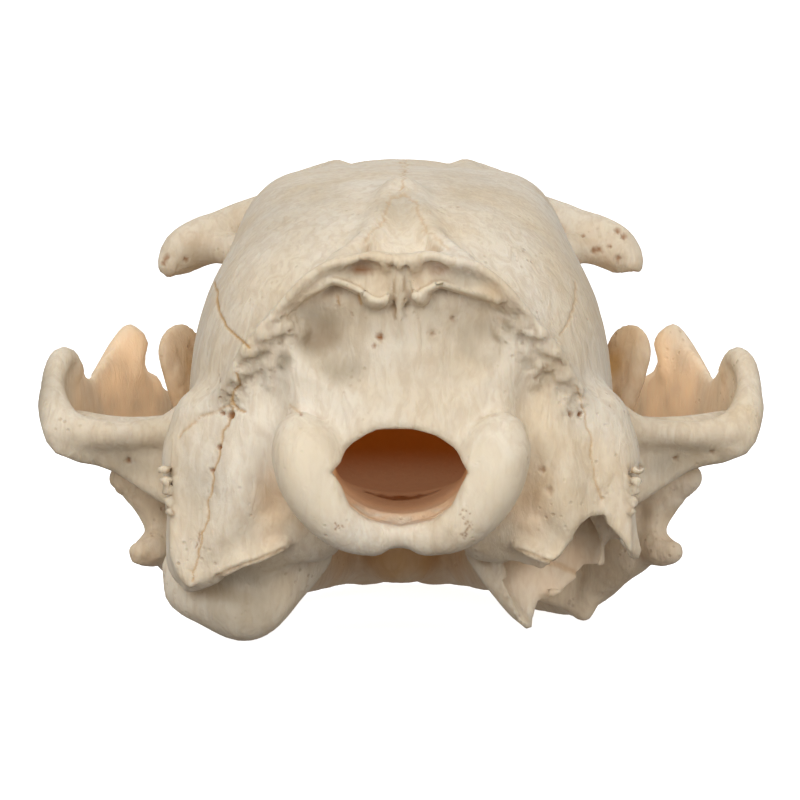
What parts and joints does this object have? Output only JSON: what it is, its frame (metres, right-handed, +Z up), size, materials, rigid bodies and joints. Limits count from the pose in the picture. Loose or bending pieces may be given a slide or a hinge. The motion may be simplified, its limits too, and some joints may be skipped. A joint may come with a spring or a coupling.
{
  "type": "aardwolf skull",
  "caption": "Aardwolf skull, cranium with its lower jaw in place: hollow braincase, wide cheek arches, peg teeth and one broken ear capsule, lying on its base.",
  "frame": {"origin": "on the resting surface, under the middle of the skull's box", "axes": "+Y towards the snout, +X towards the animal's right, +Z up"},
  "size_m": [0.0853, 0.1407, 0.0548],
  "materials": {
    "bone": "dry cream bone, satin to matt",
    "jaw_bone": "dry tan bone, matt",
    "enamel": "smooth tooth enamel, glossy"
  },
  "bodies": {
    "root": {"cranium": "bone", "mandible": "jaw_bone", "upper_incisor_1_left": "enamel", "upper_incisor_2_left": "enamel", "upper_incisor_3_left": "enamel", "upper_canine_left": "enamel", "upper_cheek_1_left": "enamel", "upper_cheek_2_left": "enamel", "upper_cheek_3_left": "enamel", "upper_cheek_4_left": "enamel", "lower_incisor_1_left": "enamel", "lower_incisor_2_left": "enamel", "lower_incisor_3_left": "enamel", "lower_canine_left": "enamel", "lower_cheek_1_left": "enamel", "lower_cheek_2_left": "enamel", "upper_incisor_1_right": "enamel", "upper_incisor_2_right": "enamel", "upper_incisor_3_right": "enamel", "upper_canine_right": "enamel", "upper_cheek_1_right": "enamel", "upper_cheek_2_right": "enamel", "upper_cheek_3_right": "enamel", "upper_cheek_4_right": "enamel", "lower_incisor_1_right": "enamel", "lower_incisor_2_right": "enamel", "lower_incisor_3_right": "enamel", "lower_canine_right": "enamel", "lower_cheek_1_right": "enamel", "lower_cheek_2_right": "enamel"}
  },
  "joints": []
}
